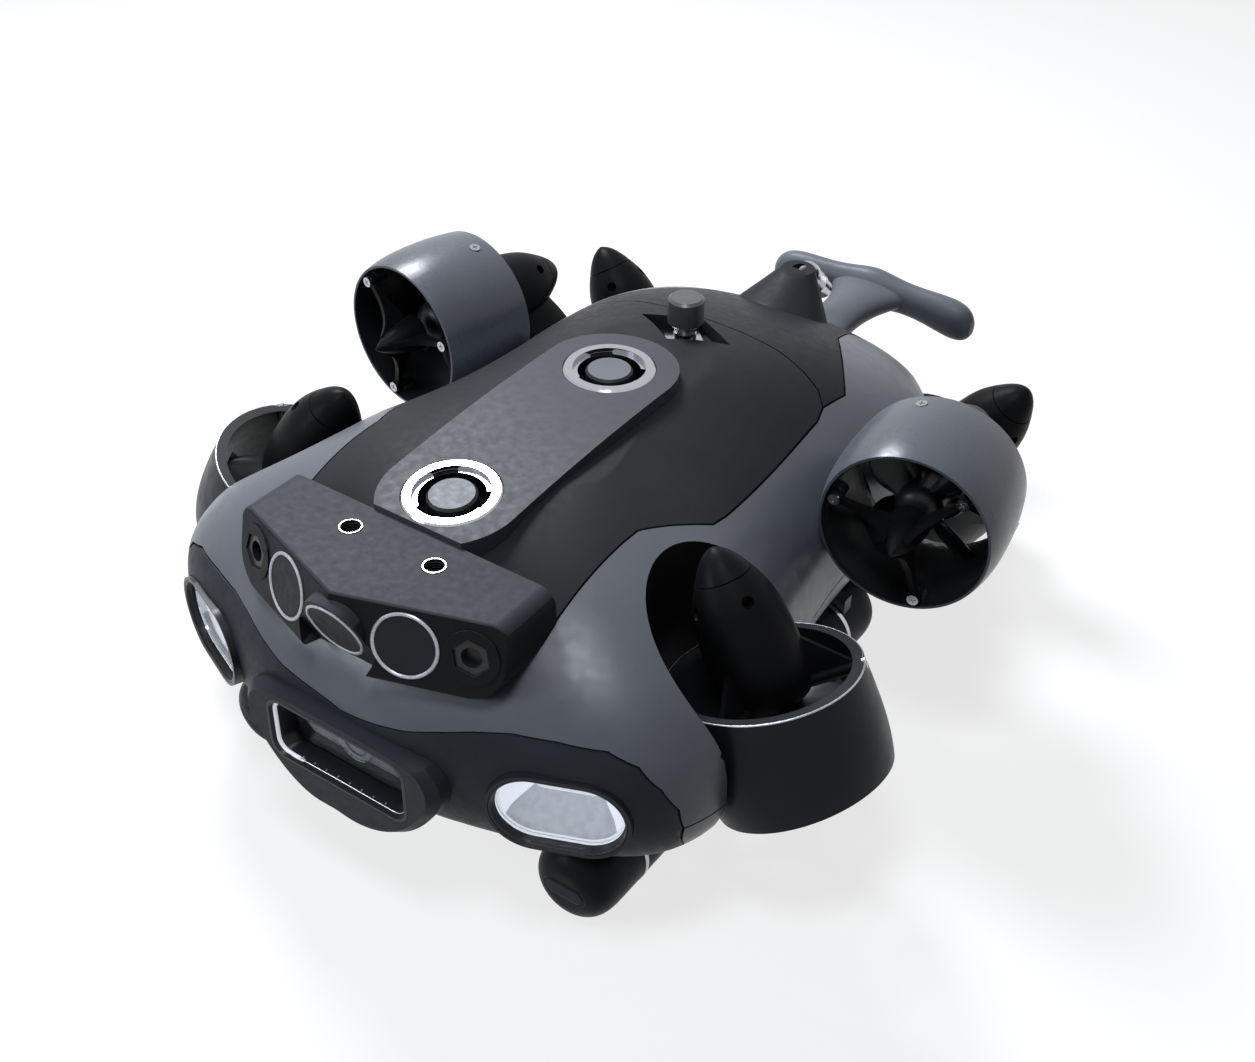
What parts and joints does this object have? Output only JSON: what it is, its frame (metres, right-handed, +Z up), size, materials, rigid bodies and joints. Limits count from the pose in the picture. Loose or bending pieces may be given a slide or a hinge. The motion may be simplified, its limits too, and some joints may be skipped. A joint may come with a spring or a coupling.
{
  "type": "underwater inspection vehicle",
  "caption": "Flat-bodied underwater inspection vehicle with vectored ducted thrusters, bow camera and lamps, tool bar, accessory ports, vent cap, battery tubes and tow handle.",
  "frame": {"origin": "centre of the bounding box in plan, on the level that the rest pads stand on", "axes": "+Z up, -Y towards the bow (camera), +X towards the right-hand battery tube seen from above with the bow down the page"},
  "size_m": [0.3558, 0.442, 0.1665],
  "materials": {
    "hull_shell": "satin gunmetal moulding",
    "fascia_black": "fine textured matt black",
    "plate_grey": "fine satin mid grey",
    "frame_black": "moulded black",
    "housing_metal": "anodised silver",
    "board_green": "coated circuit board",
    "clear_glass": "clear",
    "camera_black": "matt black",
    "lamp_rim": "satin black",
    "reflector_white": "bright white",
    "emitter_yellow": "matt phosphor",
    "sonar_black": "matt black",
    "steel": "fine brushed",
    "brass": "turned",
    "chrome": "polished",
    "plug_chrome": "satin polished",
    "cup_black": "matt black",
    "knob_black": "satin black",
    "tube_grey": "satin dark grey",
    "pack_grey": "wrapped cells",
    "rubber": "matt",
    "pod_black": "satin black",
    "duct_black": "satin black",
    "blade_grey": "semi-gloss dark grey",
    "motor_metal": "machined"
  },
  "bodies": {
    "hull": {"upper_shell": "hull_shell", "lower_shell": "hull_shell", "front_fascia": "fascia_black", "centre_deck": "hull_shell", "tail_cover": "hull_shell", "top_plate": "plate_grey", "tool_bar": "plate_grey", "chassis": "frame_black", "pressure_housing": "housing_metal", "electronics_board": "board_green", "camera_bezel": "fascia_black", "camera_window": "clear_glass", "camera_module": "camera_black", "lamp_bezels": "lamp_rim", "lamp_reflectors": "reflector_white", "lamp_emitters": "emitter_yellow", "lamp_lenses": "clear_glass", "sonar_faces": "sonar_black", "sonar_rings": "sonar_black", "bar_bolts": "steel", "threaded_inserts": "brass", "port_rings": "chrome", "port_cups": "cup_black", "vent_base": "chrome", "tow_handle": "hull_shell", "tether_connector": "chrome", "battery_tubes": "tube_grey", "battery_caps": "tube_grey", "battery_bands": "steel", "battery_packs": "pack_grey", "rest_pads": "rubber", "pod_caps": "pod_black", "thruster_motors": "motor_metal", "thruster_screws": "chrome", "front_guards": "pod_black", "front_duct_right": "duct_black", "front_pod_right": "pod_black", "front_duct_left": "duct_black", "front_pod_left": "pod_black", "mid_guards": "pod_black", "mid_duct_right": "duct_black", "mid_pod_right": "pod_black", "mid_duct_left": "duct_black", "mid_pod_left": "pod_black", "rear_guards": "pod_black", "rear_duct_right": "duct_black", "rear_pod_right": "pod_black", "rear_duct_left": "duct_black", "rear_pod_left": "pod_black"},
    "spinning_front_propeller_right": {"front_propeller_right": "blade_grey"},
    "spinning_front_propeller_left": {"front_propeller_left": "blade_grey"},
    "spinning_mid_propeller_right": {"mid_propeller_right": "blade_grey"},
    "spinning_mid_propeller_left": {"mid_propeller_left": "blade_grey"},
    "spinning_rear_propeller_right": {"rear_propeller_right": "blade_grey"},
    "spinning_rear_propeller_left": {"rear_propeller_left": "blade_grey"},
    "turning_plug_front": {"port_plug_front": "plug_chrome"},
    "turning_plug_rear": {"port_plug_rear": "plug_chrome"},
    "turning_vent_cap": {"vent_cap": "knob_black"},
    "swinging_latch_right": {"battery_latch_right": "steel"},
    "swinging_latch_left": {"battery_latch_left": "steel"}
  },
  "joints": [
    {"name": "front_spin_right", "type": "hinge", "parent": "hull", "child": "spinning_front_propeller_right", "pos_m": [0.146, -0.1102, 0.0539], "axis": [-0.4999, 0.045, 0.8649], "continuous": true},
    {"name": "front_spin_left", "type": "hinge", "parent": "hull", "child": "spinning_front_propeller_left", "pos_m": [-0.146, -0.1102, 0.0539], "axis": [0.4999, 0.045, 0.8649], "continuous": true},
    {"name": "mid_spin_right", "type": "hinge", "parent": "hull", "child": "spinning_mid_propeller_right", "pos_m": [0.1358, -0.0229, 0.1185], "axis": [-0.148, 0.989, 0], "continuous": true},
    {"name": "mid_spin_left", "type": "hinge", "parent": "hull", "child": "spinning_mid_propeller_left", "pos_m": [-0.1358, -0.0229, 0.1185], "axis": [0.148, 0.989, 0], "continuous": true},
    {"name": "rear_spin_right", "type": "hinge", "parent": "hull", "child": "spinning_rear_propeller_right", "pos_m": [0.0709, 0.1255, 0.0215], "axis": [0.53, 0.03, 0.8475], "continuous": true},
    {"name": "rear_spin_left", "type": "hinge", "parent": "hull", "child": "spinning_rear_propeller_left", "pos_m": [-0.0709, 0.1255, 0.0215], "axis": [-0.53, 0.03, 0.8475], "continuous": true},
    {"name": "plug_turn_front", "type": "hinge", "parent": "hull", "child": "turning_plug_front", "pos_m": [0, -0.145, 0.15246], "axis": [0, -0.1076, 0.9942], "range_deg": [0, 60]},
    {"name": "plug_turn_rear", "type": "hinge", "parent": "hull", "child": "turning_plug_rear", "pos_m": [0, -0.0404, 0.1581], "axis": [0, 0, 1], "range_deg": [0, 60]},
    {"name": "vent_cap_turn", "type": "hinge", "parent": "hull", "child": "turning_vent_cap", "pos_m": [0, 0.019, 0.15], "axis": [0, 0, 1], "range_deg": [0, 270]},
    {"name": "latch_swing_right", "type": "hinge", "parent": "hull", "child": "swinging_latch_right", "pos_m": [0.084, 0.0436, 0.0355], "axis": [1, 0, 0], "range_deg": [0, 80]},
    {"name": "latch_swing_left", "type": "hinge", "parent": "hull", "child": "swinging_latch_left", "pos_m": [-0.084, 0.0436, 0.0355], "axis": [1, 0, 0], "range_deg": [0, 80]}
  ]
}
